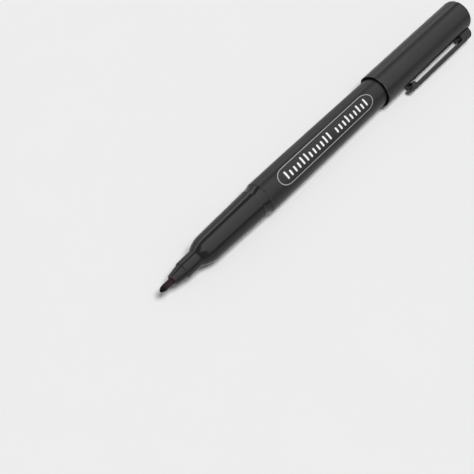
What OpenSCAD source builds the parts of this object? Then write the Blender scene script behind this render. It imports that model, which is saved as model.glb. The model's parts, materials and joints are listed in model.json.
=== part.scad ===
// Counterfeit detector pen: a felt-tip marker lying on its side, uncapped, with the cap posted on
// its tail. The nib points along -X and +Z is up. The origin is on the axis, at the seam where the
// front section meets the barrel. Everything is in millimetres, and an _r is a radius.

/* [Barrel] */
// Outer radius of the parallel front of the barrel
barrel_r = 5.8; // [4.8:0.05:7.2]
// Length of the barrel, from the seam to the end plug's flange
barrel_len = 82.4; // [66:0.2:105]
// Length of the parallel stretch before the taper starts
parallel_len = 14; // [11:0.5:30]
// How much smaller the outer radius is at the tail
barrel_taper = 0.6; // [0.3:0.05:1]
// Wall thickness of the barrel
barrel_wall = 0.9; // [0.7:0.05:1.2]
// Number of ribs inside the barrel that centre the ink reservoir
rib_count = 4; // [3:1:8]
// Thickness of one rib
rib_t = 0.6; // [0.4:0.1:1]
// Break on both edges of the seam, which leaves a fine groove there
seam_break = 0.22; // [0.1:0.02:0.3]

/* [Front section] */
// Length of the grip, from the seam to the top of the shoulder
grip_len = 24.1; // [18:0.1:32]
// How far the grip lies below the barrel at its rear end
grip_step = 0.42; // [0.2:0.02:0.6]
// How much smaller the grip's radius is at its front end
grip_taper = 0.56; // [0.3:0.02:0.9]
// Length of the flare that rises from the grip to the seam
flare_len = 2.2; // [1.4:0.1:3]
// Length of the domed shoulder between the grip and the neck
shoulder_len = 6.3; // [5:0.1:9]
// Radius of the neck where it meets the shoulder
neck_r = 3.06; // [2.5:0.02:3.7]
// Length of the neck
neck_len = 6.1; // [4.5:0.1:8]
// Draft of the neck, as the loss of radius over its length
neck_draft = 0.14; // [0:0.02:0.3]
// Rounding of the neck's front edge
neck_round = 0.26; // [0.1:0.02:0.4]
// Wall of the neck around the nose cone's spigot
neck_wall = 0.77; // [0.5:0.01:0.8]
// Length of the spigot that is pressed into the barrel
spigot_len = 9; // [6:0.5:10.5]
// Wall of the front section around the ink reservoir
section_wall = 0.72; // [0.5:0.02:0.9]
// Height of the ring that snaps into the cap
snap_h = 0.07; // [0.03:0.01:0.1]
// Distance of the snap ring from the seam
snap_back = 3.5; // [3.2:0.1:6]

/* [Nose and nib] */
// Length of the nose cone in front of the neck
nose_len = 4.6; // [3.5:0.1:6]
// How far the nose cone's rear edge lies below the neck
nose_step = 0.3; // [0.2:0.02:0.5]
// Width of the nose cone's rim around the nib
nose_rim = 0.78; // [0.5:0.02:0.86]
// Length of the nose cone's spigot
nose_spigot_len = 9; // [7:0.5:11]
// Radius of the nib
nib_r = 1.05; // [0.8:0.01:1.3]
// Length of the nib in front of the nose cone
nib_out = 5.2; // [3.5:0.1:6.5]
// Length of the nib's rounded tip
nib_tip_len = 2.2; // [1.6:0.1:3.4]
// Width of each air groove along the nose cone's bore
air_groove = 0.5; // [0.3:0.05:0.7]

/* [Ink reservoir] */
// Clearance between the reservoir and the ribs or the section's bore
reservoir_gap = 0.06; // [0.03:0.01:0.2]
// Thickness of the film wrapped round the reservoir
wrap_t = 0.12; // [0.08:0.01:0.2]
// How far the nib reaches into the reservoir
nib_in = 6; // [4:0.5:9]

/* [End plug] */
// Thickness of the plug's flange
plug_flange = 1.6; // [1.2:0.1:2.4]
// Length of the plug's spigot
plug_len = 6; // [4:0.5:8]
// Wall thickness of the plug's spigot
plug_wall = 0.9; // [0.6:0.1:1.2]
// Rounding of the flange's edge
plug_round = 0.5; // [0.2:0.05:0.6]

/* [Cap] */
// Wall thickness of the cap at its mouth
cap_wall = 0.9; // [0.7:0.05:1.2]
// How much smaller the cap's outer radius is at the crown
cap_taper = 0.18; // [0:0.02:0.3]
// Radial clearance between the cap and the tail that it is posted on
post_gap = 0.06; // [0.04:0.01:0.1]
// How far the posted cap overlaps the tail
post_depth = 23; // [15:0.5:28]
// Thickness of the crown
crown_wall = 1.6; // [1.2:0.1:2.4]
// Rounding of the crown's edge
crown_round = 1.3; // [0.6:0.1:2]
// Depth of the lead-in chamfer inside the mouth
mouth_chamfer = 2.4; // [1.5:0.1:3]
// Room between the nib's tip and the bottom of its chamber when the cap is on the nib
nib_room = 1.8; // [1:0.1:3]
// Clearance between the liner's bore and the neck
seal_gap = 0.02; // [0.01:0.01:0.05]
// Wall thickness of the liner's tube
liner_wall = 0.85; // [0.6:0.05:1.1]
// Thickness of the liner's base
liner_base = 1.2; // [0.8:0.1:1.8]

/* [Clip] */
// Length of the clip
clip_len = 38; // [30:0.5:46]
// Width of the clip at its root
clip_w = 3.8; // [3:0.1:5]
// Width of the clip at its free end
clip_tip_w = 3.2; // [2.4:0.1:4]
// Thickness of the clip's arm
clip_t = 1.3; // [1:0.05:1.8]
// Height of the gap under the clip's arm
clip_gap = 1.45; // [1.1:0.05:2]
// Length of the root that stands on the cap
clip_root = 5.5; // [4:0.5:8]
// Distance of the root from the crown's face
clip_inset = 1.6; // [1.4:0.1:4]
// Clearance between the clip and the cap
clip_fit = 0.03; // [0.02:0.01:0.1]

/* [Hidden] */
$fn = 96;

// How far a cut runs past the face that it opens
past = 1;
// Small break on moulded edges
edge = 0.15;
// Chamfer on the leading edge of what is pressed in
lead = 0.3;
// Room left behind what is pressed in
room = 0.4;
// How far the front section's rim lies below the barrel
seam_step = 0.02;
// Half the length of the snap ring
snap_half = 0.45;
// Rounding of the nose cone's front edge
nose_lip = 0.3;
// Distance of the air grooves from the nose cone's front face
groove_inset = 1.5;
// Depth of the air grooves beyond the bore
groove_depth = 0.35;
// How far the wide bore of the front section starts behind the shoulder's top
bore_inset = 1.5;
// Distance of the reservoir from the start of the wide bore
bore_rise = 2.5;
// Distance of the ribs from the section's spigot
rib_inset = 2;
// Distance of the plug's dimple from the spigot's inner wall
dimple_rim = 0.4;
// Depth of the plug's dimple
dimple_depth = 0.5;
// Extra radius at the cap's mouth, over the clearance on the barrel
mouth_extra = 0.05;
// Lead-in at the mouth of the liner
liner_lead = 0.35;
// Rounding of the clip's rear corner
clip_round = 2;
// Rounding between the clip's arm and its root
clip_fillet = 1;
// Distance of the clip's bump from the free end
bump_inset = 1.6;
// Gap between the clip's bump and the cap
bump_gap = 0.05;
// How blunt the nib's tip is: 0.5 is an ellipse, and more is more pointed
nib_point = 0.65;
// Slope of the nose cone's flank where its rounded front edge meets it
nose_flank = 12;
// Number of air grooves
groove_count = 4;
// Length over which the cap's bore narrows behind the tail
post_lead = 1;
// Steps along a small rounding, a plain curve, the nib's tip or clip's bump, and the shoulder
fine_steps = 6;
curve_steps = 8;
tip_steps = 12;
shoulder_steps = 16;

// Places along the axis, from the nib to the tail
shoulder_top = -grip_len;
neck_rear = shoulder_top - shoulder_len;
neck_front = neck_rear - neck_len;
nose_front = neck_front - nose_len;
nib_tip = nose_front - nib_out;
tail_x = barrel_len + plug_flange;

// Radii of the barrel and what is pressed into it
tail_r = barrel_r - barrel_taper;
bore_r = barrel_r - barrel_wall;
tail_bore_r = tail_r - barrel_wall;

// Radii of the front section
grip_rear_r = barrel_r - grip_step;
grip_front_r = grip_rear_r - grip_taper;
neck_front_r = neck_r - neck_draft;
nose_rear_r = neck_front_r - nose_step;
nose_front_r = nib_r + nose_rim;
nose_spigot_r = neck_front_r - neck_wall;
section_bore_r = grip_front_r - section_wall;

// The reservoir fits the narrower of the section's bore and the barrel's tail
reservoir_r = min(section_bore_r, tail_bore_r) - reservoir_gap;
core_r = reservoir_r - wrap_t;
bore_front = shoulder_top + bore_inset;
reservoir_front = bore_front + bore_rise;
reservoir_rear = barrel_len - plug_len - room;
nib_rear = reservoir_front + nib_in;
nose_rear = neck_front + nose_spigot_len;

// The cap: its own depth runs from the mouth to the crown
cap_x = tail_x - post_depth;
cap_r = cap_bore(mouth_chamfer) + cap_wall;
crown_r = cap_r - cap_taper;
crown_in = nib_room + liner_base - nib_tip;
cap_len = crown_in + crown_wall;
deep_r = tail_r + post_gap;
liner_mouth = room - neck_rear;
liner_bore_r = neck_r + seal_gap;
liner_r = liner_bore_r + liner_wall;

// The clip stands on the cap's wall, turned until its lower edge is level with the cap's underside
clip_end = cap_len - clip_inset;
clip_in_r = cap_r + clip_gap;
clip_out_r = clip_in_r + clip_t;
clip_lean = atan(clip_w / 2 / clip_out_r) + acos(cap_r / norm([clip_out_r, clip_w / 2]));
clip_turn = 180 - clip_lean;

// Radius of the barrel's outside at x
function barrel_at(x) =
    barrel_r - barrel_taper * max(0, x - parallel_len) / (barrel_len - parallel_len);

// Radius of the cap's bore at a depth that the tail reaches
function cap_bore(depth) = barrel_at(min(cap_x + depth, barrel_len)) + post_gap;

// Radius of the cap's outside at a depth
function cap_at(depth) = cap_r - cap_taper * depth / cap_len;

// Points of an arc about centre c, from angle a to angle b
function arc(c, r, a, b, n = curve_steps) =
    [for (i = [0 : n]) c + r * [cos(a + (b - a) * i / n), sin(a + (b - a) * i / n)]];

// Radius of a circle that rises by h over a length l, starting level
function rise_radius(l, h) = (l * l + h * h) / (2 * h);

// Outline of the grip, from the neck to the seam, as [radius, x]
shoulder_arc = rise_radius(shoulder_len, grip_front_r - neck_r);
shoulder_angle = asin(shoulder_len / shoulder_arc);
flare_rise = flare_len - seam_break;
flare_arc = rise_radius(flare_rise, grip_step - seam_step);
flare_angle = asin(flare_rise / flare_arc);
snap_arc = rise_radius(snap_half, snap_h);
snap_angle = asin(snap_half / snap_arc);
snap_r = grip_rear_r - grip_taper * (snap_back - flare_len) / (grip_len - flare_len);

section_outline = concat(
    arc([neck_front_r - neck_round, neck_front + neck_round], neck_round, -90, 0, fine_steps),
    [[neck_r, neck_rear]],
    arc([grip_front_r - shoulder_arc, shoulder_top], shoulder_arc, -shoulder_angle, 0, shoulder_steps),
    arc([snap_r + snap_h - snap_arc, -snap_back], snap_arc, -snap_angle, snap_angle, fine_steps),
    arc([grip_rear_r + flare_arc, -flare_len], flare_arc, 180, 180 - flare_angle),
    [[barrel_r - seam_step - seam_break, 0], [bore_r, 0]],
    [[bore_r, spigot_len - lead], [bore_r - lead, spigot_len]],
    [[0, spigot_len], [0, neck_front]]
);

// A solid turned about the X axis from an outline of [radius, x] points
module turned(outline) {
    rotate([0, 90, 0])
        rotate_extrude()
            polygon(outline);
}

// A cylinder along X, from x0 to x1
module rod(r, x0, x1) {
    translate([x0, 0, 0])
        rotate([0, 90, 0])
            cylinder(r = r, h = x1 - x0);
}

// Felt nib: a rod with a bullet tip, its rear end buried in the reservoir
module nib() {
    tip = [for (i = [0 : tip_steps])
        let (s = 1 - cos(90 * i / tip_steps))
        [nib_r * pow(1 - (1 - s) * (1 - s), nib_point), nib_tip + nib_tip_len * s]];
    color([0.25, 0.17, 0.19])
        turned(concat(tip, [[nib_r, nib_rear - lead], [nib_r - lead, nib_rear], [0, nib_rear]]));
}

// Nose cone: holds the nib, with a spigot in the neck and air grooves along its bore
module nose_cone() {
    outline = concat(
        [[0, nose_front]],
        arc([nose_front_r - nose_lip, nose_front + nose_lip], nose_lip, -90, -nose_flank, fine_steps),
        [[nose_rear_r, neck_front], [nose_spigot_r, neck_front]],
        [[nose_spigot_r, nose_rear - lead], [nose_spigot_r - lead, nose_rear], [0, nose_rear]]
    );
    groove_front = nose_front + groove_inset;
    color([0.11, 0.11, 0.12])
        difference() {
            turned(outline);
            rod(nib_r, nose_front - past, nose_rear + past);
            for (i = [0 : groove_count - 1])
                rotate([360 * (i + 0.5) / groove_count, 0, 0])
                    translate([groove_front, -air_groove / 2, 0])
                        cube([nose_rear - groove_front + past, air_groove, nib_r + groove_depth]);
        }
}

// Front section: the grip, shoulder and neck in one moulding, with the spigot for the barrel
module front_section() {
    bore = [
        [0, neck_front - past],
        [nose_spigot_r, neck_front - past],
        [nose_spigot_r, nose_rear + room],
        [section_bore_r, bore_front],
        [section_bore_r, spigot_len + past],
        [0, spigot_len + past]
    ];
    color([0.12, 0.12, 0.13])
        difference() {
            turned(section_outline);
            turned(bore);
        }
}

// Barrel: a tapered tube with ribs that centre the reservoir
module barrel() {
    outside = [
        [0, 0],
        [barrel_r - seam_break, 0],
        [barrel_r, seam_break],
        [barrel_r, parallel_len],
        [tail_r, barrel_len],
        [0, barrel_len]
    ];
    plug_seat = barrel_len - plug_len;
    inside = [
        [0, -past],
        [bore_r, -past],
        [bore_r, spigot_len + room],
        [tail_bore_r, plug_seat],
        [tail_bore_r, barrel_len + past],
        [0, barrel_len + past]
    ];
    rib_front = spigot_len + rib_inset;
    rib_rear = plug_seat - rib_inset / 2;
    color([0.16, 0.16, 0.17])
        difference() {
            turned(outside);
            difference() {
                turned(inside);
                for (i = [0 : rib_count - 1])
                    rotate([360 * i / rib_count, 0, 0])
                        translate([rib_front, -rib_t / 2, reservoir_r + reservoir_gap / 2])
                            cube([rib_rear - rib_front, rib_t, barrel_wall + barrel_taper + past]);
            }
        }
}

// Film wrapped round the fibre of the reservoir
module reservoir_wrap() {
    color([0.85, 0.86, 0.84])
        difference() {
            rod(reservoir_r, reservoir_front, reservoir_rear);
            rod(core_r, reservoir_front - past, reservoir_rear + past);
        }
}

// Fibre core that holds the ink, pierced at the front by the nib
module reservoir_core() {
    color([0.72, 0.66, 0.45])
        difference() {
            rod(core_r, reservoir_front, reservoir_rear);
            rod(nib_r, reservoir_front - past, nib_rear);
        }
}

// End plug: a flange flush with the barrel and a hollow spigot pressed into its tail
module end_plug() {
    outline = concat(
        [[0, barrel_len - plug_len], [tail_bore_r - lead, barrel_len - plug_len]],
        [[tail_bore_r, barrel_len - plug_len + lead], [tail_bore_r, barrel_len]],
        [[tail_r, barrel_len]],
        arc([tail_r - plug_round, tail_x - plug_round], plug_round, 0, 90, fine_steps),
        [[0, tail_x]]
    );
    hollow_r = tail_bore_r - plug_wall;
    color([0.14, 0.14, 0.15])
        difference() {
            turned(outline);
            rod(hollow_r, barrel_len - plug_len - past, barrel_len);
            rod(hollow_r - dimple_rim, tail_x - dimple_depth, tail_x + past);
        }
}

// Cap shell: a tapered cup with a lead-in at its mouth
module cap_shell() {
    outside = concat(
        [[0, 0], [cap_r - edge, 0], [cap_r, edge]],
        arc([crown_r - crown_round, cap_len - crown_round], crown_round, 0, 90),
        [[0, cap_len]]
    );
    mouth_r = barrel_r + post_gap + mouth_extra;
    inside = [
        [0, -past],
        [mouth_r, -past],
        [mouth_r, 0],
        [cap_bore(mouth_chamfer), mouth_chamfer],
        [deep_r, post_depth + post_lead],
        [deep_r, crown_in],
        [0, crown_in]
    ];
    color([0.13, 0.13, 0.14])
        translate([cap_x, 0, 0])
            difference() {
                turned(outside);
                turned(inside);
            }
}

// Cap liner: the inner tube that closes on the neck and keeps the nib wet
module cap_liner() {
    chamber_end = crown_in - liner_base;
    color([0.2, 0.2, 0.21])
        translate([cap_x, 0, 0])
            difference() {
                union() {
                    rod(liner_r, liner_mouth, crown_in);
                    rod(deep_r, chamber_end, crown_in);
                }
                rod(liner_bore_r, liner_mouth - past, chamber_end);
                turned([
                    [0, liner_mouth - past],
                    [liner_bore_r + liner_lead, liner_mouth - past],
                    [liner_bore_r + liner_lead, liner_mouth],
                    [liner_bore_r, liner_mouth + 2 * liner_lead],
                    [0, liner_mouth + 2 * liner_lead]
                ]);
            }
}

// Side outline of the clip as [depth, radius], from the root's foot round to the free end
function clip_side() =
    let (
        free = clip_end - clip_len,
        bump = clip_gap - bump_gap,
        bump_x = free + bump + bump_inset,
        root_front = clip_end - clip_root
    )
    concat(
        [[clip_end, 0]],
        arc([clip_end - clip_round, clip_out_r - clip_round], clip_round, 0, 90, fine_steps),
        arc([free + clip_t, clip_out_r - clip_t], clip_t, 90, 180, fine_steps),
        arc([bump_x, clip_in_r], bump, 180, 360, tip_steps),
        arc([root_front - clip_fillet, clip_in_r - clip_fillet], clip_fillet, 90, 0, fine_steps),
        [[root_front, 0]]
    );

// Clip: an arm on a root that stands on the cap's wall near the crown
module clip() {
    free = clip_end - clip_len;
    color([0.13, 0.13, 0.14])
        translate([cap_x, 0, 0])
            rotate([clip_turn, 0, 0])
                difference() {
                    intersection() {
                        translate([0, clip_w, 0])
                            rotate([90, 0, 0])
                                linear_extrude(2 * clip_w)
                                    polygon(clip_side());
                        linear_extrude(2 * clip_out_r)
                            polygon([
                                [free - past, -clip_tip_w / 2],
                                [clip_end - clip_root, -clip_w / 2],
                                [clip_end + past, -clip_w / 2],
                                [clip_end + past, clip_w / 2],
                                [clip_end - clip_root, clip_w / 2],
                                [free - past, clip_tip_w / 2]
                            ]);
                    }
                    turned([
                        [0, -past],
                        [cap_at(-past) + clip_fit, -past],
                        [cap_at(cap_len) + clip_fit, cap_len],
                        [0, cap_len]
                    ]);
                }
}

nib();
nose_cone();
front_section();
barrel();
reservoir_wrap();
reservoir_core();
end_plug();
cap_shell();
cap_liner();
clip();
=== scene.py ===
import json
import math
import bpy
import numpy as np
from mathutils import Matrix, Vector


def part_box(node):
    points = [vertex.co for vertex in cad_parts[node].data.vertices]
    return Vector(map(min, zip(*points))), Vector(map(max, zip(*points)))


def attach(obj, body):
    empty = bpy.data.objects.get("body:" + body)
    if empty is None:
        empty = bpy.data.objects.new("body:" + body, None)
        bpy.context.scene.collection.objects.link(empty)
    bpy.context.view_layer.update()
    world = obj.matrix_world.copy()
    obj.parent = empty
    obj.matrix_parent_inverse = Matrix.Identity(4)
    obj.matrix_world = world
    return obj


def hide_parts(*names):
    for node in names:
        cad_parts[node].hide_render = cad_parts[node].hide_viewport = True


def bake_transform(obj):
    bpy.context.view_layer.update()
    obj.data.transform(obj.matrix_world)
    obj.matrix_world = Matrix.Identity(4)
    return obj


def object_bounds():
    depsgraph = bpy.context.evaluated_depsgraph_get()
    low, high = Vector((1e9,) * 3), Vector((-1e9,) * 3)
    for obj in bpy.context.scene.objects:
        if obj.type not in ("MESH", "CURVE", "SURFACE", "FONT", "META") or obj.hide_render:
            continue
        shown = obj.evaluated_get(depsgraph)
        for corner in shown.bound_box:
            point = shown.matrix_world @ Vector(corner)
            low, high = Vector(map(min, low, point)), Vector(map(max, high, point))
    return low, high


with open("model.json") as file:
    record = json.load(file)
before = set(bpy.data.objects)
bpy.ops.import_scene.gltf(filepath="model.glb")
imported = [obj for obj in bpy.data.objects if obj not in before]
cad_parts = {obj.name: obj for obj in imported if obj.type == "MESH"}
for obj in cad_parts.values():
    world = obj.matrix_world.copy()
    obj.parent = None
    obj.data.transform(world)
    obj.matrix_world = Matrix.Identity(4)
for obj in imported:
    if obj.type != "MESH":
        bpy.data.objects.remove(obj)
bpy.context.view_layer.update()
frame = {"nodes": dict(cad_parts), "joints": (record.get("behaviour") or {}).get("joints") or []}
scene = bpy.context.scene
scene.view_settings.view_transform = "Standard"
mm = 0.001  # shapes are worked out in millimetres and stored in metres


def nodeBox(node):
    # lowest and highest corner of a CAD node, in millimetres
    low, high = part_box(node)
    return np.array(low) / mm, np.array(high) / mm


def jointNamed(name):
    return next(joint for joint in frame["joints"] if joint["name"] == name)


# places along the pen's axis and sizes that the CAD model sets
nibLow, nibHigh = nodeBox("nib")
noseLow, noseHigh = nodeBox("nose_cone")
sectionLow, sectionHigh = nodeBox("front_section")
barrelLow, barrelHigh = nodeBox("barrel")
plugLow, plugHigh = nodeBox("end_plug")
capLow, capHigh = nodeBox("cap_shell")
linerLow, linerHigh = nodeBox("cap_liner")
clipLow, clipHigh = nodeBox("clip")
filmLow, filmHigh = nodeBox("reservoir_wrap")
seamX = barrelLow[0]
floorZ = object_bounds()[0][2] / mm


# camera and stage

view = {
    "azimuth": -48.5,        # degrees, 0 looks along +Y
    "elevation": 56.39,
    "distance": 300.0,
    "aim": (-16.04, -4.26, 0.0),
    "lens": 72.9,
}


def makeCamera():
    azimuth, elevation = math.radians(view["azimuth"]), math.radians(view["elevation"])
    back = Vector((
        math.sin(azimuth) * math.cos(elevation),
        -math.cos(azimuth) * math.cos(elevation),
        math.sin(elevation),
    ))
    data = bpy.data.cameras.new("camera")
    data.lens = view["lens"]
    data.sensor_width = 36
    data.clip_start = 0.01
    camera = bpy.data.objects.new("camera", data)
    camera.location = (Vector(view["aim"]) + back * view["distance"]) * mm
    camera.rotation_euler = back.to_track_quat("Z", "Y").to_euler()
    scene.collection.objects.link(camera)
    scene.camera = camera


makeCamera()
print("camera ready")


# shader maths

class Value:
    # one socket of a material, on which + - * and / add Math nodes
    def __init__(self, finish, socket):
        self.finish = finish
        self.socket = socket

    def maths(self, operation, *others):
        inputs = dict(enumerate((self,) + others))
        return self.finish.node("ShaderNodeMath", {"operation": operation}, inputs)

    def flipped(self, operation, other):
        return self.finish.node("ShaderNodeMath", {"operation": operation}, {0: other, 1: self})

    def __add__(self, other):
        return self.maths("ADD", other)

    def __radd__(self, other):
        return self.maths("ADD", other)

    def __sub__(self, other):
        return self.maths("SUBTRACT", other)

    def __rsub__(self, other):
        return self.flipped("SUBTRACT", other)

    def __mul__(self, other):
        return self.maths("MULTIPLY", other)

    def __rmul__(self, other):
        return self.maths("MULTIPLY", other)

    def __truediv__(self, other):
        return self.maths("DIVIDE", other)

    def __abs__(self):
        return self.maths("ABSOLUTE")

    def ramp(self, low, high):
        # 0 up to low, 1 from high on, and smooth between them
        settings = {"interpolation_type": "SMOOTHSTEP"}
        return self.finish.node("ShaderNodeMapRange", settings, {0: self, 1: low, 2: high, 3: 0.0, 4: 1.0})


class Finish:
    # one material: its Principled shader, and a method that adds any other node
    def __init__(self, name, **constants):
        self.material = bpy.data.materials.new(name)
        self.material.use_nodes = True
        self.tree = self.material.node_tree
        self.shader = self.tree.nodes["Principled BSDF"]
        self.coordinates = self.node("ShaderNodeTexCoord", {}, {}, "Object")
        for key, value in constants.items():
            self.shader.inputs[key.replace("_", " ")].default_value = value

    def node(self, kind, settings=None, inputs=None, output=0):
        made = self.tree.nodes.new(kind)
        for key, value in (settings or {}).items():
            if key == "stops":
                self.setStops(made.color_ramp, value)
            else:
                setattr(made, key, value)
        for key, value in (inputs or {}).items():
            self.feed(made.inputs[key], value)
        return Value(self, made.outputs[output])

    def setStops(self, colorRamp, stops):
        while len(colorRamp.elements) < len(stops):
            colorRamp.elements.new(0.5)
        for element, (place, colour) in zip(colorRamp.elements, stops):
            element.position = place
            element.color = colour

    def feed(self, socket, value):
        if isinstance(value, Value):
            self.tree.links.new(value.socket, socket)
        else:
            socket.default_value = value

    def set(self, name, value):
        self.feed(self.shader.inputs[name], value)

    def noise(self, scale, detail=3.0, stretch=(1, 1, 1), roughness=0.55):
        # noise of a size in features per metre, stretched along the axes
        place = self.node("ShaderNodeMapping", {}, {"Vector": self.coordinates, "Scale": stretch})
        return self.node("ShaderNodeTexNoise", {}, {
            "Vector": place, "Scale": scale, "Detail": detail, "Roughness": roughness,
        })

    def axes(self):
        # object coordinates in millimetres, one value for each axis
        parts = self.node("ShaderNodeSeparateXYZ", {}, {0: self.coordinates})
        sockets = parts.socket.node.outputs
        return [Value(self, socket) * 1000.0 for socket in sockets]

    def mix(self, share, first, second):
        # colours, blended by a share from 0 to 1
        settings = {"data_type": "RGBA"}
        return self.node("ShaderNodeMix", settings, {0: share, 6: first, 7: second}, 2)

    def bump(self, height, distance, strength=1.0, under=None):
        inputs = {"Height": height, "Distance": distance, "Strength": strength}
        if under is not None:
            inputs["Normal"] = under
        return self.node("ShaderNodeBump", {}, inputs)


def rgba(colour):
    return (*colour, 1.0)


# what every moulded plastic starts from; a piece's own finish values replace these
plasticLook = {
    "cloudScale": 140,       # features per metre
    "cloudGain": 1.25,
    "smudgeScale": 60,
    "smudge": 0.06,
    "scratchScale": 900,
    "scratchRun": (14, 1, 1),
    "hair": 0.05,
    "hairDepth": 0.0008,     # millimetres
    "grainRoughness": 0.04,
}


def mouldedPlastic(name, ownLook):
    # black moulded plastic: faint cloudy colour, uneven gloss from handling, a fine moulded grain,
    # and hair scratches that run round the pen
    look = {**plasticLook, **ownLook}
    finish = Finish(name, Specular_IOR_Level=0.5, IOR=1.5)
    clouds = finish.noise(look["cloudScale"], 4.0)
    grain = finish.noise(look["grainScale"], 2.0)
    scratches = finish.noise(look["scratchScale"], 2.0, look["scratchRun"])
    dark, light = look["colour"], [c * look["cloudGain"] for c in look["colour"]]
    finish.baseColour = finish.mix(clouds.ramp(0.35, 0.7), rgba(dark), rgba(light))
    handled = finish.noise(look["smudgeScale"], 5.0, (0.6, 1, 1), 0.62).ramp(0.42, 0.68)
    hairs = scratches.ramp(0.64, 0.74)
    finish.roughness = look["roughness"] + handled * look["smudge"] + hairs * look["hair"]
    finish.roughness = finish.roughness + (grain - 0.5) * look["grainRoughness"]
    normal = finish.bump(grain, look["grainDepth"] * mm)
    finish.normal = finish.bump(hairs, look["hairDepth"] * mm, 0.6, normal)
    return finish


def finishPlastic(finish):
    finish.set("Base Color", finish.baseColour)
    finish.set("Roughness", finish.roughness)
    finish.set("Normal", finish.normal)
    return finish.material


def edgeRub(finish, places, width, colour):
    # lighter, duller plastic within a width of each place along the axis, broken up by noise
    along = finish.axes()[0]
    broken = finish.noise(420, 4.0).ramp(0.4, 0.62)
    rub = sum((1.0 - abs(along - place) / width).ramp(0.0, 1.0) for place in places) * broken
    finish.baseColour = finish.mix(rub, finish.baseColour, rgba(colour))
    finish.roughness = finish.roughness + rub * 0.12
    return finish


# surfaces

def arcPoints(centre, radius, start, end, count):
    # points of a circle about a centre, turning evenly from the first angle to the last
    angles = np.radians(np.linspace(start, end, count))
    return np.stack([centre[0] + radius * np.cos(angles), centre[1] + radius * np.sin(angles)], -1)


def softOutline(corners, closed=True, steps=6, support=0.07):
    # each corner (x, radius, round) becomes an arc that touches both of its sides; a point close
    # outside each end of the arc keeps the flat sides flat when the surface is shaded smooth
    corners = np.array([tuple(c) + (0.0,) * (3 - len(c)) for c in corners], float)
    previous, following = np.roll(corners, 1, 0), np.roll(corners, -1, 0)
    pieces = []
    for index, (before, here, after) in enumerate(zip(previous, corners, following)):
        isEnd = not closed and index in (0, len(corners) - 1)
        if isEnd or here[2] <= 0:
            pieces.append(here[None, :2])
            continue
        back, ahead = before[:2] - here[:2], after[:2] - here[:2]
        backLength, aheadLength = np.linalg.norm(back), np.linalg.norm(ahead)
        back, ahead = back / backLength, ahead / aheadLength
        turn = math.pi - math.acos(np.clip(back @ ahead, -1, 1))
        room = 0.48 * min(backLength, aheadLength)
        setback = min(here[2] * math.tan(turn / 2), room)
        radius = setback / math.tan(turn / 2)
        middle = (back + ahead) / np.linalg.norm(back + ahead)
        centre = here[:2] + middle * radius / math.cos(turn / 2)
        first = (here[:2] + back * setback - centre) / radius
        last = (here[:2] + ahead * setback - centre) / radius
        share = np.linspace(0, 1, steps + 1)[:, None]
        swing = np.sin((1 - share) * turn) * first + np.sin(share * turn) * last
        arc = centre + radius * swing / math.sin(turn)
        if setback + support < room:
            outside = here[:2] + np.array([back, ahead]) * (setback + support)
            arc = np.vstack([outside[:1], arc, outside[1:]])
        pieces.append(arc)
    return np.vstack(pieces)


def filled(outline, longest):
    # adds evenly spaced points wherever two neighbours lie further apart than the longest step
    lengths = np.linalg.norm(np.diff(outline, axis=0), axis=1)
    steps = np.maximum(1, np.ceil(lengths / longest).astype(int))
    between = [np.linspace(i, i + 1, n, endpoint=False) for i, n in enumerate(steps)]
    places = np.concatenate(between + [[len(steps)]])
    numbers = np.arange(len(outline))
    return np.stack([np.interp(places, numbers, column) for column in outline.T], -1)


def addPiece(name, points, faces, material):
    # the faces are turned round if the volume that they enclose comes out negative; a face of three
    # sides repeats its last corner, which adds nothing to the volume
    points = np.asarray(points, float)
    corners = points[np.array([face[:4] if len(face) > 3 else face + face[-1:] for face in faces])]
    first, second, third, fourth = corners.transpose(1, 0, 2)
    volume = (first * (np.cross(second, third) + np.cross(third, fourth))).sum()
    if volume < 0:
        faces = [face[::-1] for face in faces]
    mesh = bpy.data.meshes.new(name)
    mesh.from_pydata((points * mm).tolist(), [], faces)
    mesh.polygons.foreach_set("use_smooth", np.ones(len(faces), bool))
    mesh.materials.append(material)
    mesh.validate()
    piece = bpy.data.objects.new(name, mesh)
    scene.collection.objects.link(piece)
    return piece


def gridFaces(rows, columns, closeRows):
    # four-sided faces between neighbouring points of a grid whose columns run in a ring
    numbers = np.arange(rows * columns).reshape(rows, columns)
    if closeRows:
        numbers = np.vstack([numbers, numbers[:1]])
    here, up = numbers[:-1], numbers[1:]
    return np.stack([here, np.roll(here, -1, 1), np.roll(up, -1, 1), up], -1).reshape(-1, 4)


def fanFaces(ring, pole):
    # three-sided faces from each side of a ring to one point
    return np.stack([ring, np.roll(ring, -1), np.full(len(ring), pole)], -1)


def turnedPiece(name, outline, material, closed, segments=192, angles=None, shape=None):
    # every outline point (x, r) is carried round the X axis: y = r sin(angle), z = r cos(angle);
    # shape may change r as a function of x, r and the angle
    if angles is None:
        angles = np.linspace(0, 2 * math.pi, segments, endpoint=False)
    body = outline if closed else outline[1:-1]
    x, r, angle = np.broadcast_arrays(body[:, :1], body[:, 1:], angles[None, :])
    if shape is not None:
        r = shape(x, r, angle)
    grid = np.stack([x, r * np.sin(angle), r * np.cos(angle)], -1)
    rows, columns = r.shape
    points = grid.reshape(-1, 3)
    faces = gridFaces(rows, columns, closed).tolist()
    if not closed:
        poles = [[outline[0, 0], 0, 0], [outline[-1, 0], 0, 0]]
        points = np.vstack([points, poles])
        firstRing, lastRing = np.arange(columns), np.arange(columns) + (rows - 1) * columns
        faces += fanFaces(firstRing[::-1], rows * columns).tolist()
        faces += fanFaces(lastRing, rows * columns + 1).tolist()
    return addPiece(name, points, faces, material)


def smoothStep(value, low, high):
    share = np.clip((value - low) / (high - low), 0, 1)
    return share * share * (3 - 2 * share)


# nib

nibLook = {
    "tipLength": 2.2,
    "bluntness": 0.65,
    "fibres": 46,
    "fibreDepth": 0.014,
    "body": (0.024, 0.0147, 0.0175),
    "tip": (0.005, 0.0042, 0.005),
}


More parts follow.
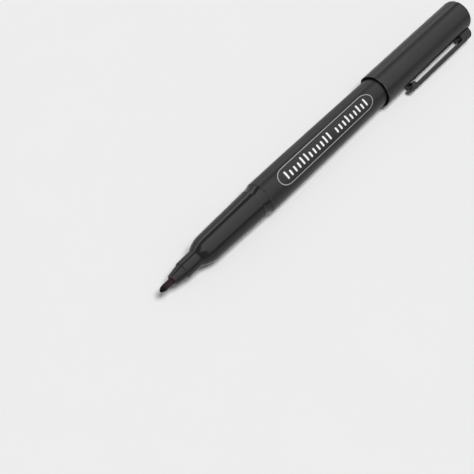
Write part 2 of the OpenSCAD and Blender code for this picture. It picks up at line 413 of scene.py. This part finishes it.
def nibFinish():
    # felt soaked with ink: fine fibres along the nib, dark at the tip and maroon behind it
    finish = Finish("nibFelt", Roughness=0.85, Specular_IOR_Level=0.08)
    along = finish.axes()[0]
    fibres = finish.noise(2600, 3.0, (0.12, 1, 1))
    soak = finish.noise(700, 3.0)
    wet = 1.0 - (along + (soak - 0.5) * 1.6).ramp(nibLow[0] + 0.9, nibLow[0] + 2.9)
    pale = rgba([c * 2.1 for c in nibLook["body"]])
    colour = finish.mix(fibres.ramp(0.3, 0.75), rgba(nibLook["body"]), pale)
    finish.set("Base Color", finish.mix(wet, colour, rgba(nibLook["tip"])))
    finish.set("Roughness", 0.8 - wet * 0.3 + (fibres - 0.5) * 0.2)
    finish.set("Normal", finish.bump(fibres, 0.02 * mm, 0.8))
    return finish.material


def nibShape(x, r, angle):
    # fine ridges run along the nib, their height wandering slowly with x
    wander = np.sin(angle * 7 + x * 0.9) + np.sin(angle * 17 - x * 0.5)
    ridges = np.sin(angle * nibLook["fibres"] + wander)
    return r - nibLook["fibreDepth"] * (0.5 + 0.5 * ridges) * smoothStep(r, 0.0, nibHigh[1])


def makeNib():
    # the tip's radius is the nib's times (1 - (1 - s)^2)^bluntness, with s from 0 at the tip to 1
    share = 1 - np.cos(np.linspace(0, math.pi / 2, 30))
    radius = nibHigh[1] * (1 - (1 - share) ** 2) ** nibLook["bluntness"]
    tip = np.stack([nibLow[0] + nibLook["tipLength"] * share, radius], -1)
    rear = softOutline([
        (nibHigh[0] - 3, nibHigh[1]), (nibHigh[0], nibHigh[1], 0.3), (nibHigh[0], 0),
    ], False)
    outline = filled(np.vstack([tip, rear]), 0.35)
    piece = turnedPiece("nib_felt", outline, nibFinish(), False, 184, shape=nibShape)
    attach(piece, "pen")
    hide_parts("nib")


makeNib()
print("nib made")


# nose cone

noseLook = {
    "rim": 0.78,
    "spigotRadius": 2.15,
    "frontRound": 0.32,
    "mouthDepth": 0.3,
    "stain": (0.03, 0.01, 0.011),
    "finish": {
        "colour": (0.005, 0.005, 0.0053),
        "roughness": 0.2,
        "grainScale": 5200,
        "grainDepth": 0.0016,
    },
}


def noseFinish():
    # the section's plastic, stained red by the ink round the nib's mouth
    finish = mouldedPlastic("nosePlastic", noseLook["finish"])
    along = finish.axes()[0]
    creep = finish.noise(900, 4.0)
    stain = 1.0 - (along + (creep - 0.5) * 1.2).ramp(noseLow[0] + 0.1, noseLow[0] + 1.1)
    finish.baseColour = finish.mix(stain * 0.75, finish.baseColour, rgba(noseLook["stain"]))
    return finishPlastic(finish)


def makeNose():
    # a ring turned from the cone, its spigot and the bore round the nib, which opens at the mouth
    bore = nibHigh[1] + 0.01
    outline = softOutline([
        (noseLow[0], bore + noseLook["mouthDepth"] * 0.6, 0.06),
        (noseLow[0], nibHigh[1] + noseLook["rim"], noseLook["frontRound"]),
        (sectionLow[0], noseHigh[1], 0.08),
        (sectionLow[0], noseLook["spigotRadius"], 0.05),
        (noseHigh[0], noseLook["spigotRadius"], 0.3),
        (noseHigh[0], bore, 0.1),
        (noseLow[0] + noseLook["mouthDepth"], bore, 0.05),
    ])
    piece = turnedPiece("nose_cone_shell", outline, noseFinish(), True)
    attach(piece, "pen")
    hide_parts("nose_cone")


makeNose()
print("nose cone made")


# front section

sectionLook = {
    "gripLength": 24.1,
    "gripRear": 5.38,
    "gripFront": 4.82,
    "flareLength": 2.2,
    "shoulderLength": 6.3,
    "neckRear": 3.06,
    "neckFront": 2.92,
    "neckRound": 0.26,
    "snapBack": 3.5,
    "snapHeight": 0.07,
    "snapHalf": 0.45,        # half of the snap ring's length
    "boreRadius": 4.1,
    "spigotRadius": 4.9,
    "seamBreak": 0.22,
    "finish": {
        "colour": (0.005, 0.005, 0.0053),
        "roughness": 0.15,
        "grainScale": 4200,
        "grainDepth": 0.0012,
        "smudge": 0.07,
    },
}


def riseArc(length, height):
    # radius and angle of a circle that rises by a height over a length, starting level
    radius = (length ** 2 + height ** 2) / (2 * height)
    return radius, math.degrees(math.asin(length / radius))


def makeSection():
    # neck, a shoulder that is one arc level with the grip, a cone for the grip with a snap ring,
    # an arc that flares out to the seam, and the spigot and bore behind it
    look = sectionLook
    shoulderTop = seamX - look["gripLength"]
    neckRear = shoulderTop - look["shoulderLength"]
    shoulderRadius, shoulderAngle = riseArc(look["shoulderLength"], look["gripFront"] - look["neckRear"])
    shoulderCentre = (shoulderTop, look["gripFront"] - shoulderRadius)
    shoulder = arcPoints(shoulderCentre, shoulderRadius, 90 + shoulderAngle, 90, 26)
    flareRise = sectionHigh[1] - look["gripRear"]
    flareRadius, flareAngle = riseArc(look["flareLength"] - look["seamBreak"], flareRise)
    flareCentre = (seamX - look["flareLength"], look["gripRear"] + flareRadius)
    flare = arcPoints(flareCentre, flareRadius, -90, -90 + flareAngle, 16)
    slope = (look["gripRear"] - look["gripFront"]) / (look["gripLength"] - look["flareLength"])
    snapBase = look["gripFront"] + slope * (look["gripLength"] - look["snapBack"])
    snapRadius, snapAngle = riseArc(look["snapHalf"], look["snapHeight"])
    snapCentre = (seamX - look["snapBack"], snapBase + look["snapHeight"] - snapRadius)
    snap = arcPoints(snapCentre, snapRadius, 90 + snapAngle, 90 - snapAngle, 10)
    outside = np.vstack([shoulder, snap, flare])
    corners = [
        (sectionLow[0], look["neckFront"], look["neckRound"]),
        (neckRear, look["neckRear"] - 0.02, 0.9),
    ]
    corners += [tuple(p) + (0.0,) for p in outside[1:]]
    corners += [
        (seamX, sectionHigh[1] - look["seamBreak"], 0.0),
        (seamX, look["spigotRadius"], 0.0),
        (sectionHigh[0], look["spigotRadius"], 0.4),
        (sectionHigh[0], look["boreRadius"], 0.15),
        (shoulderTop + 1.5, look["boreRadius"], 0.3),
        (noseHigh[0] + 0.4, noseLook["spigotRadius"], 0.3),
        (sectionLow[0], noseLook["spigotRadius"], 0.1),
    ]
    outline = filled(softOutline(corners), 1.2)
    piece = turnedPiece("front_section_shell", outline, sectionFinish(), True, 256)
    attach(piece, "pen")
    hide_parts("front_section")


def sectionFinish():
    finish = mouldedPlastic("sectionPlastic", sectionLook["finish"])
    return finishPlastic(edgeRub(finish, [seamX, sectionLow[0]], 0.3, (0.05, 0.05, 0.05)))


makeSection()
print("front section made")


# barrel

barrelLook = {
    "parallel": 14.0,
    "tailRadius": 5.2,
    "wall": 0.9,
    "seamRound": 0.2,
    "ribs": 4,
    "ribThickness": 0.6,
    "ribRadius": 4.07,
    "finish": {
        "colour": (0.006, 0.006, 0.0063),
        "roughness": 0.34,
        "grainScale": 9000,
        "grainDepth": 0.004,
        "grainRoughness": 0.08,
        "smudge": 0.05,
    },
}


def barrelFinish():
    finish = mouldedPlastic("barrelPlastic", barrelLook["finish"])
    return finishPlastic(edgeRub(finish, [seamX], 0.25, (0.07, 0.07, 0.07)))


def ribAngles():
    # an even ring of angles, with extra ones close to both sides of each rib
    even = np.linspace(0, 2 * math.pi, 256, endpoint=False)
    half = barrelLook["ribThickness"] / 2 / barrelLook["ribRadius"]
    centres = np.arange(barrelLook["ribs"]) * 2 * math.pi / barrelLook["ribs"]
    edges = (centres[:, None] + np.array([-half * 1.12, -half, half, half * 1.12])).ravel()
    return np.unique(np.round(np.concatenate([even, edges % (2 * math.pi)]), 6))


def barrelShape(x, r, angle):
    # inside the bore and between the spigot and the plug, four ribs stand in towards the reservoir
    half = barrelLook["ribThickness"] / 2 / barrelLook["ribRadius"]
    pitch = 2 * math.pi / barrelLook["ribs"]
    off = np.abs((angle + pitch / 2) % pitch - pitch / 2)
    between = (x > sectionHigh[0] + 2) & (x < plugLow[0] - 1)
    inBore = (r < barrelHigh[1] - barrelLook["wall"] + 0.01) & between
    rib = (1 - smoothStep(off, half, half * 1.12)) * inBore * (r < barrelLook["tailRadius"])
    return r + (np.minimum(r, barrelLook["ribRadius"]) - r) * rib


def makeBarrel():
    # a tapered tube: parallel at the seam, then an even cone to the tail, with a bore that follows it
    look = barrelLook
    bore = barrelHigh[1] - look["wall"]
    tailBore = look["tailRadius"] - look["wall"]
    outline = softOutline([
        (seamX, bore, 0.1),
        (seamX, barrelHigh[1], look["seamRound"]),
        (look["parallel"], barrelHigh[1], 40.0),
        (barrelHigh[0], look["tailRadius"], 0.05),
        (barrelHigh[0], tailBore, 0.1),
        (plugLow[0] - 1.0, tailBore, 0.05),
        (plugLow[0] - 1.15, tailBore, 0.0),
        (sectionHigh[0] + 2.15, bore, 0.0),
        (sectionHigh[0] + 2.0, bore, 0.0),
    ])
    piece = turnedPiece(
        "barrel_tube", filled(outline, 2.5), barrelFinish(), True,
        angles=ribAngles(), shape=barrelShape)
    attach(piece, "pen")
    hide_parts("barrel")


def barrelRadius(x):
    # the outside of the barrel: parallel, then falling evenly to the tail
    share = np.clip((x - barrelLook["parallel"]) / (barrelHigh[0] - barrelLook["parallel"]), 0, 1)
    return barrelHigh[1] + (barrelLook["tailRadius"] - barrelHigh[1]) * share


makeBarrel()
print("barrel made")


# print on the barrel

labelLook = {
    "turn": -28.7,           # degrees from +Z towards +Y
    "start": 6.25,
    "end": 54.6,
    "halfWidth": 2.95,
    "endLength": 3.9,
    "line": 0.3,
    "inkHeight": 0.02,
    "colour": (0.37, 0.37, 0.36),
    "markColour": (0.84, 0.84, 0.83),
    "markWidth": 0.74,
    "markPitch": 1.98,
    "foot": 1.36,            # the marks stand on a line this far below the label's middle
    "tall": 2.95,
    "short": 2.15,
    "groups": ((9.75, 32.0), (35.4, 51.3)),
}


def onBarrel(x, across, lift):
    # a flat drawing rolled onto the barrel: across is the distance round it from the label's middle
    angle = math.radians(labelLook["turn"]) - across / barrelHigh[1]
    radius = barrelRadius(x) + lift
    return np.stack([x, radius * np.sin(angle), radius * np.cos(angle)], -1)


def inkFinish(name, colour):
    # screen-printed ink: slightly uneven cover, with pinholes and rubbed spots
    finish = Finish(name, Specular_IOR_Level=0.4)
    cover = finish.noise(3000, 3.0)
    rubbed = finish.noise(160, 4.0).ramp(0.6, 0.75)
    worn = (cover.ramp(0.68, 0.74) * 0.5 + rubbed * 0.12)
    finish.set("Base Color", finish.mix(worn, rgba(colour), rgba([c * 0.45 for c in colour])))
    finish.set("Roughness", 0.5 + (cover - 0.5) * 0.3)
    finish.set("Normal", finish.bump(cover, 0.004 * mm, 0.6))
    return finish.material


def makeCapsule():
    # the outline is a slot shape: x and the distance round the barrel follow a path of two straight
    # sides and two half-oval ends, and a thin rounded band is carried along it
    look = labelLook
    ends, sides = 48, 60
    turns = np.linspace(-90, 90, ends)
    rightX = look["end"] - look["endLength"] + look["endLength"] * np.cos(np.radians(turns))
    rightY = look["halfWidth"] * np.sin(np.radians(turns))
    straight = np.linspace(look["end"] - look["endLength"], look["start"] + look["endLength"], sides)[1:-1]
    leftX = look["start"] + look["endLength"] - look["endLength"] * np.cos(np.radians(turns))
    pathX = np.concatenate([rightX, straight, leftX, straight[::-1]])
    side = np.full(sides - 2, look["halfWidth"])
    pathY = np.concatenate([rightY, side, rightY[::-1], -side])
    stepX = np.roll(pathX, -1) - np.roll(pathX, 1)
    stepY = np.roll(pathY, -1) - np.roll(pathY, 1)
    length = np.hypot(stepX, stepY)
    half, top = look["line"] / 2, look["inkHeight"]
    offset = np.array([-1, -1, -0.86, -0.5, 0, 0.5, 0.86, 1, 1, 0.5, 0, -0.5]) * half
    lift = np.array([-0.4, 0.5, 1, 1, 1, 1, 1, 0.5, -0.4, -0.4, -0.4, -0.4]) * top
    x = pathX[:, None] + (stepY / length)[:, None] * offset
    across = pathY[:, None] - (stepX / length)[:, None] * offset
    points = onBarrel(x, across, np.broadcast_to(lift, x.shape))
    faces = gridFaces(len(pathX), len(offset), True).tolist()
    finish = inkFinish("labelInk", look["colour"])
    piece = addPiece("label_outline", points.reshape(-1, 3), faces, finish)
    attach(piece, "pen")


def makeMarks():
    # upright bars with round ends in a plain rhythm of tall and short ones: each is a slot shape that
    # grows in rings from its middle, flat on top and tucked under the surface at its rim
    look = labelLook
    x = np.concatenate([np.arange(low, high, look["markPitch"]) for low, high in look["groups"]])
    number = np.arange(len(x))
    tall = (number % 5 == 0) | (number % 7 == 4)
    height = np.where(tall, look["tall"], look["short"])
    centre = look["foot"] - height / 2
    rings = np.array([0.2, 0.4, 0.6, 0.8, 0.93, 1.0, 1.0])
    lift = np.array([1, 1, 1, 1, 1, 0.6, -0.4]) * look["inkHeight"]
    radius = look["markWidth"] / 2
    halfRound, along = np.linspace(0, math.pi, 11), np.linspace(1, -1, 8)[1:-1]
    turns = np.concatenate([halfRound, np.full(6, math.pi), halfRound + math.pi, np.zeros(6)])
    side = np.concatenate([np.ones(11), along, -np.ones(11), -along])
    straight = (height / 2 - radius)[:, None, None] * side
    localX = rings[:, None] * radius * np.cos(turns)
    localY = rings[None, :, None] * (radius * np.sin(turns) + straight)
    gridX = x[:, None, None] + localX[None]
    gridY = centre[:, None, None] + localY
    gridLift = np.broadcast_to(lift[None, :, None], gridX.shape)
    points = onBarrel(gridX, gridY, gridLift)
    poles = np.stack([onBarrel(x, centre, lift[0]), onBarrel(x, centre, lift[-1])], 1)
    count, rows, columns = gridX.shape
    oneFaces = gridFaces(rows, columns, False)
    first, last = np.arange(columns), np.arange(columns) + (rows - 1) * columns
    topFan, bottomFan = fanFaces(first[::-1], rows * columns), fanFaces(last, rows * columns + 1)
    block = rows * columns + 2
    allPoints = np.concatenate([points.reshape(count, -1, 3), poles], 1).reshape(-1, 3)
    shift = (number * block)[:, None, None]
    faces = (oneFaces[None] + shift).reshape(-1, 4).tolist()
    faces += (np.vstack([topFan, bottomFan])[None] + shift).reshape(-1, 3).tolist()
    piece = addPiece("label_marks", allPoints, faces, inkFinish("markInk", look["markColour"]))
    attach(piece, "pen")


makeCapsule()
makeMarks()
print("print made")


# end plug

plugLook = {
    "round": 0.5,
    "wall": 0.9,
    "dimpleRadius": 3.0,
    "dimpleDepth": 0.5,
    "finish": {
        "colour": (0.008, 0.008, 0.0083),
        "roughness": 0.38,
        "grainScale": 8000,
        "grainDepth": 0.003,
    },
}


def makePlug():
    # a flange level with the barrel, dished behind, with a hollow spigot inside the tail
    spigot = barrelLook["tailRadius"] - barrelLook["wall"]
    hollow = spigot - plugLook["wall"]
    outline = softOutline([
        (barrelHigh[0], 0),
        (barrelHigh[0], hollow, 0.3),
        (plugLow[0], hollow, 0.1),
        (plugLow[0], spigot, 0.3),
        (barrelHigh[0], spigot, 0.05),
        (barrelHigh[0], plugHigh[1], 0.06),
        (plugHigh[0], plugHigh[1], plugLook["round"]),
        (plugHigh[0], plugLook["dimpleRadius"], 0.12),
        (plugHigh[0] - plugLook["dimpleDepth"], plugLook["dimpleRadius"], 0.2),
        (plugHigh[0] - plugLook["dimpleDepth"], 0.6, 0.08),
        (plugHigh[0] - plugLook["dimpleDepth"] + 0.15, 0.5, 0.06),
        (plugHigh[0] - plugLook["dimpleDepth"] + 0.15, 0),
    ], False)
    finish = finishPlastic(mouldedPlastic("plugPlastic", plugLook["finish"]))
    piece = turnedPiece("end_plug_body", outline, finish, False)
    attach(piece, "pen")
    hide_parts("end_plug")


makePlug()
print("end plug made")


# cap

capLook = {
    "crownRadius": 6.147,
    "crownRound": 1.3,
    "crownWall": 1.6,
    "mouthBore": 5.91,
    "bore": 5.427,
    "deepBore": 5.26,
    "mouthChamfer": 2.4,
    "gripDepth": 24.0,
    "finish": {
        "colour": (0.008, 0.008, 0.0083),
        "roughness": 0.28,
        "grainScale": 7000,
        "grainDepth": 0.002,
        "smudge": 0.08,
    },
}


def capFinish():
    finish = mouldedPlastic("capPlastic", capLook["finish"])
    return finishPlastic(edgeRub(finish, [capLow[0], capHigh[0] - 0.3], 0.35, (0.06, 0.06, 0.06)))


def makeCap():
    # a tapered cup with a round-edged crown, a shallow ring in the crown's face and a chamfered mouth
    look = capLook
    mouth, crown = capLow[0], capHigh[0]
    inner = crown - look["crownWall"]
    outline = softOutline([
        (crown - 0.12, 0),
        (crown - 0.12, 0.9, 0.05),
        (crown, 1.15, 0.06),
        (crown, look["crownRadius"], look["crownRound"]),
        (mouth, capHigh[1], 0.16),
        (mouth, look["mouthBore"], 0.12),
        (mouth + look["mouthChamfer"], look["bore"], 0.5),
        (mouth + look["gripDepth"], look["deepBore"], 0.5),
        (inner, look["deepBore"], 0.3),
        (inner, 0),
    ], False, 10)
    piece = turnedPiece("cap_shell_body", filled(outline, 3.0), capFinish(), False, 224)
    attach(piece, "cap")
    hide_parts("cap_shell")


linerLook = {
    "boreRadius": 3.08,
    "tubeRadius": 3.93,
    "base": 1.2,
    "finish": {
        "colour": (0.035, 0.035, 0.036),
        "roughness": 0.35,
        "grainScale": 6000,
        "grainDepth": 0.002,
    },
}


def makeLiner():
    # a tube with a chamfered mouth and a closed base that seats against the crown
    look = linerLook
    chamber = linerHigh[0] - look["base"]
    outline = softOutline([
        (linerHigh[0], 0),
        (linerHigh[0], linerHigh[1], 0.15),
        (chamber, linerHigh[1], 0.15),
        (chamber, look["tubeRadius"], 0.3),
        (linerLow[0], look["tubeRadius"], 0.12),
        (linerLow[0], look["boreRadius"] + 0.35, 0.08),
        (linerLow[0] + 0.7, look["boreRadius"], 0.2),
        (chamber, look["boreRadius"], 0.4),
        (chamber, 0),
    ], False)
    finish = finishPlastic(mouldedPlastic("linerPlastic", look["finish"]))
    piece = turnedPiece("cap_liner_body", outline, finish, False, 128)
    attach(piece, "cap")
    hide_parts("cap_liner")


makeCap()
makeLiner()
print("cap made")


# clip

clipLook = {
    "rootWidth": 3.8,
    "tipWidth": 3.2,
    "thickness": 1.3,
    "gap": 1.45,
    "rootLength": 5.5,
    "bumpRadius": 1.4,
    "edge": 0.32,
    "fillet": 1.0,
    "bumpInset": 1.6,
    "rearRound": 2.0,
}


def capRadius(x):
    # the outside of the cap falls evenly from the mouth to the crown
    return capHigh[1] + (capLook["crownRadius"] - capHigh[1]) * (x - capLow[0]) / (capHigh[0] - capLow[0])


def clipPlane():
    # the clip's own directions: along the pen, across the clip and away from the axis
    across = np.array(jointNamed("clip_flex")["axis"], float)
    across = across / np.linalg.norm(across)
    away = np.cross([1.0, 0.0, 0.0], across)
    return across, away


def clipUnderside(x):
    # the arm's underside is level; it drops to the cap in a quarter round at the root, and in a half
    # round at the bump near the free end
    look = clipLook
    level = capHigh[1] + look["gap"]
    surface = capRadius(x)
    rootFront = clipHigh[0] - look["rootLength"]
    intoFillet = np.clip((x - rootFront + look["fillet"]) / look["fillet"], 0, 1)
    fillet = look["fillet"] * (1 - np.sqrt(1 - intoFillet ** 2))
    under = level - np.where(x > rootFront, level, fillet)
    bumpX = clipLow[0] + look["bumpRadius"] + look["bumpInset"]
    offBump = np.clip(np.abs(x - bumpX) / look["bumpRadius"], 0, 1)
    under = under - look["bumpRadius"] * np.sqrt(1 - offBump ** 2)
    return np.maximum(under, surface - 0.08)


def clipTop(x):
    # the outer face is level, rounded down at the free end and at the root's rear
    look = clipLook
    top = capHigh[1] + look["gap"] + look["thickness"]
    fromTip = np.clip(1 - (x - clipLow[0]) / look["thickness"], 0, 1)
    tipDrop = look["thickness"] * (1 - np.sqrt(1 - fromTip ** 2))
    fromRear = np.clip(1 - (clipHigh[0] - x) / look["rearRound"], 0, 1)
    rearDrop = look["rearRound"] * (1 - np.sqrt(1 - fromRear ** 2))
    return top - tipDrop - rearDrop


def makeClip():
    # a round-cornered section is carried along the pen's length: its half width, underside and top are
    # functions of x, and its underside follows the cap's curve where it stands on the cap
    look = clipLook
    low, high = clipLow[0], clipHigh[0]
    rootFront = high - look["rootLength"]
    bumpX = low + look["bumpRadius"] + look["bumpInset"]
    turn = np.linspace(0, math.pi, 20)
    x = np.unique(np.round(np.concatenate([
        low + look["thickness"] * (1 - np.cos(np.linspace(0, math.pi / 2, 12))),
        bumpX - look["bumpRadius"] * np.cos(turn),
        np.linspace(bumpX + look["bumpRadius"], rootFront - look["fillet"], 24),
        rootFront - look["fillet"] * (1 - np.sin(turn[:10])),
        np.array([rootFront + 0.001, rootFront + 0.08]),
        np.linspace(rootFront + 0.3, high - look["rearRound"], 10),
        high - look["rearRound"] * (1 - np.sin(turn[:10])),
    ]), 5))
    x = x[(x >= low) & (x <= high)]
    across, away = clipPlane()
    widths = [look["tipWidth"], look["rootWidth"], look["rootWidth"]]
    half = np.interp(x, [low, rootFront, high], widths) / 2
    under, top = clipUnderside(x), clipTop(x)
    corner = np.minimum(look["edge"], np.maximum(0.02, (top - under) / 2 - 0.01))
    quarter = np.linspace(0, math.pi / 2, 6)
    cornerY = np.concatenate([np.cos(quarter), -np.sin(quarter), -np.cos(quarter), np.sin(quarter)])
    cornerZ = np.concatenate([np.sin(quarter), np.cos(quarter), -np.sin(quarter), -np.cos(quarter)])
    signY = np.repeat([1, -1, -1, 1], 6)
    signZ = np.repeat([1, 1, -1, -1], 6)
    y = signY * (half - corner)[:, None] + corner[:, None] * cornerY
    z = np.where(signZ > 0, (top - corner)[:, None], (under + corner)[:, None]) + corner[:, None] * cornerZ
    spacing = np.linspace(0, 1, 5, endpoint=False)[1:]
    y, z = addFlats(y, z, spacing)
    surface = np.sqrt(np.maximum(capRadius(x)[:, None] ** 2 - y ** 2, 0))
    standing = (x > rootFront)[:, None] & (z < surface + 0.4)
    sag = capRadius(x)[:, None] - surface
    z = np.where(standing, z - sag, z)
    rows, columns = y.shape
    xGrid = np.broadcast_to(x[:, None], y.shape)
    points = xGrid[..., None] * np.array([1.0, 0, 0]) + y[..., None] * across + z[..., None] * away
    ends = np.stack([points[0].mean(0), points[-1].mean(0)])
    faces = gridFaces(rows, columns, False).tolist()
    firstRing, lastRing = np.arange(columns), np.arange(columns) + (rows - 1) * columns
    faces += fanFaces(firstRing[::-1], rows * columns).tolist()
    faces += fanFaces(lastRing, rows * columns + 1).tolist()
    finish = finishPlastic(mouldedPlastic("clipPlastic", capLook["finish"]))
    piece = addPiece("clip_arm", np.vstack([points.reshape(-1, 3), ends]), faces, finish)
    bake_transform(piece)
    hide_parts("clip")


def addFlats(y, z, spacing):
    # adds points along the four flats between the rounded corners of each section
    groups = []
    for side in range(4):
        here = slice(side * 6, side * 6 + 6)
        lastY, lastZ = y[:, side * 6 + 5], z[:, side * 6 + 5]
        nextColumn = (side * 6 + 6) % 24
        nextY, nextZ = y[:, nextColumn], z[:, nextColumn]
        flatY = lastY[:, None] + (nextY - lastY)[:, None] * spacing
        flatZ = lastZ[:, None] + (nextZ - lastZ)[:, None] * spacing
        groups.append((np.hstack([y[:, here], flatY]), np.hstack([z[:, here], flatZ])))
    return np.hstack([g[0] for g in groups]), np.hstack([g[1] for g in groups])


makeClip()
print("clip made")


# reservoir, which stays as the CAD made it

def filmFinish():
    # clear-grey film with fine lengthwise folds
    finish = Finish("reservoirFilm", Specular_IOR_Level=0.5)
    folds = finish.noise(900, 3.0, (0.15, 1, 1))
    finish.set("Base Color", finish.mix(folds, (0.7, 0.71, 0.69, 1), (0.82, 0.83, 0.8, 1)))
    finish.set("Roughness", 0.15 + folds * 0.2)
    finish.set("Normal", finish.bump(folds, 0.05 * mm, 0.6))
    return finish.material


def fibreFinish():
    # polyester fibre soaked with yellow-brown ink
    finish = Finish("reservoirFibre", Specular_IOR_Level=0.2)
    strands = finish.noise(3200, 4.0, (0.06, 1, 1))
    soak = finish.noise(120, 3.0, (0.3, 1, 1))
    colour = finish.mix(soak.ramp(0.35, 0.7), (0.5, 0.38, 0.16, 1), (0.62, 0.54, 0.34, 1))
    finish.set("Base Color", finish.mix(strands.ramp(0.3, 0.8), colour, (0.78, 0.72, 0.55, 1)))
    finish.set("Roughness", 0.75 + strands * 0.2)
    finish.set("Normal", finish.bump(strands, 0.06 * mm, 0.8))
    return finish.material


def paintNode(node, material):
    mesh = frame["nodes"][node].data
    if len(mesh.materials) == 0:
        mesh.materials.append(material)
    for index in range(len(mesh.materials)):
        mesh.materials[index] = material


paintNode("reservoir_wrap", filmFinish())
paintNode("reservoir_core", fibreFinish())
print("reservoir painted")


# floor and light

stageLook = {
    "floorSize": 20000.0,
    "floor": 0.88,
    "worldSeen": 0.84,       # what the camera sees past the floor
    "worldGloss": 0.3,       # what shows in reflections, above and below the horizon
    "groundGloss": 0.58,
    "worldFill": 0.16,       # what falls on the floor and the dull surfaces
    "distance": 520.0,
    "centre": -20.0,         # place along the pen that the panels' angles are measured from
}

# each panel is a row of roof slats over the pen: turn runs from +Z towards +Y and lean from there
# towards +X, all in degrees; leanLow is the panel's near end at each of its turns, and the glow goes
# evenly from the first slat's to the last's
panels = {
    "softbox": {
        "turn": (-69.0, -38.0, -6.0, 22.5), "leanLow": (-10.0, -14.0, -30.0, -9.0), "leanHigh": 54.0,
        "slats": 16, "glow": (0.6, 1.2),
    },
    "strip": {
        "turn": (48.0, 62.0), "leanLow": (-40.0, -40.0), "leanHigh": 54.0,
        "slats": 1, "glow": (1.45, 1.45),
    },
    "side": {
        "turn": (62.0, 86.0), "leanLow": (-40.0, -40.0), "leanHigh": 54.0,
        "slats": 1, "glow": (0.4, 0.4),
    },
    "rear": {
        "turn": (-60.0, 60.0), "leanLow": (-70.0, -70.0), "leanHigh": -44.0,
        "slats": 2, "glow": (0.9, 1.1),
    },
}

keyLook = {
    "turn": -18.0,
    "spread": 23.0,          # degrees across the light, as seen from the pen
    "glow": 0.855,           # the floor's share of light from it
}


def makeFloor():
    half = stageLook["floorSize"] / 2 * mm
    mesh = bpy.data.meshes.new("floor")
    corners = np.array([[-half, -half], [half, -half], [half, half], [-half, half]])
    points = np.hstack([corners, np.full((4, 1), floorZ * mm - 0.00002)])
    mesh.from_pydata(points.tolist(), [], [[0, 1, 2, 3]])
    finish = Finish("floorPaper", Roughness=0.9, Specular_IOR_Level=0.1)
    tone = finish.noise(40, 3.0)
    pale, shade = stageLook["floor"], stageLook["floor"] * 0.985
    finish.set("Base Color", finish.mix(tone, (pale, pale, pale, 1), (shade, shade, shade, 1)))
    mesh.materials.append(finish.material)
    floor = bpy.data.objects.new("floor", mesh)
    scene.collection.objects.link(floor)
    floor.visible_glossy = False  # the world stands in for it in reflections


def makeLamp(name, turn, distance, xLow, xHigh, width, glow):
    # a flat rectangular light that faces the pen's axis and glows evenly
    tilt = math.radians(turn)
    direction = Vector((0, math.sin(tilt), math.cos(tilt)))
    length = (xHigh - xLow) * mm
    light = bpy.data.lights.new(name, "AREA")
    light.shape = "RECTANGLE"
    light.size = length
    light.size_y = width * mm
    light.energy = glow * math.pi * length * width * mm
    lamp = bpy.data.objects.new(name, light)
    lamp.location = direction * distance * mm + Vector(((xLow + xHigh) / 2 * mm, 0, 0))
    facing = Matrix((Vector((1, 0, 0)), direction.cross(Vector((1, 0, 0))), direction)).transposed()
    lamp.rotation_euler = facing.to_euler()
    lamp.visible_camera = False
    scene.collection.objects.link(lamp)
    return lamp


def makePanels():
    # the slats only show in reflections, so they shape the gloss without a second shadow
    distance, centre = stageLook["distance"], stageLook["centre"]
    for name, look in panels.items():
        edges = np.linspace(look["turn"][0], look["turn"][-1], look["slats"] + 1)
        glows = np.linspace(*look["glow"], look["slats"])
        leans = np.interp((edges[1:] + edges[:-1]) / 2, look["turn"], look["leanLow"])
        high = centre + distance * math.tan(math.radians(look["leanHigh"]))
        for low, top, glow, lean in zip(edges, edges[1:], glows, leans):
            width = 2 * distance * math.tan(math.radians(top - low) / 2)
            start = centre + distance * math.tan(math.radians(lean))
            lamp = makeLamp(name, (low + top) / 2, distance, start, high, width, glow)
            lamp.visible_diffuse = False


def makeKey():
    # the light that casts the pen's soft shadow, far away so that the whole floor is lit alike
    look = keyLook
    light = bpy.data.lights.new("key", "SUN")
    light.angle = math.radians(look["spread"])
    light.energy = look["glow"] * math.pi
    lamp = bpy.data.objects.new("key", light)
    lamp.rotation_euler = (-math.radians(look["turn"]), 0, 0)
    lamp.visible_glossy = False
    scene.collection.objects.link(lamp)


def makeWorld():
    # one grey for the camera, another for reflections and another for everything else
    world = bpy.data.worlds.new("studio")
    scene.world = world
    world.use_nodes = True
    nodes, links = world.node_tree.nodes, world.node_tree.links
    rays, place = nodes.new("ShaderNodeLightPath"), nodes.new("ShaderNodeTexCoord")
    parts, ground = nodes.new("ShaderNodeSeparateXYZ"), nodes.new("ShaderNodeMapRange")
    links.new(place.outputs["Generated"], parts.inputs[0])
    links.new(parts.outputs[2], ground.inputs[0])
    for index, value in enumerate((-0.05, 0.05, stageLook["groundGloss"], stageLook["worldGloss"]), 1):
        ground.inputs[index].default_value = value
    gloss, seen = nodes.new("ShaderNodeMix"), nodes.new("ShaderNodeMix")
    links.new(rays.outputs["Is Glossy Ray"], gloss.inputs[0])
    gloss.inputs[2].default_value = stageLook["worldFill"]
    links.new(ground.outputs[0], gloss.inputs[3])
    links.new(rays.outputs["Is Camera Ray"], seen.inputs[0])
    links.new(gloss.outputs[0], seen.inputs[2])
    seen.inputs[3].default_value = stageLook["worldSeen"]
    links.new(seen.outputs[0], nodes["Background"].inputs["Strength"])
    nodes["Background"].inputs["Color"].default_value = (1, 1, 1, 1)


makeFloor()
makePanels()
makeKey()
makeWorld()
print("stage and light ready")
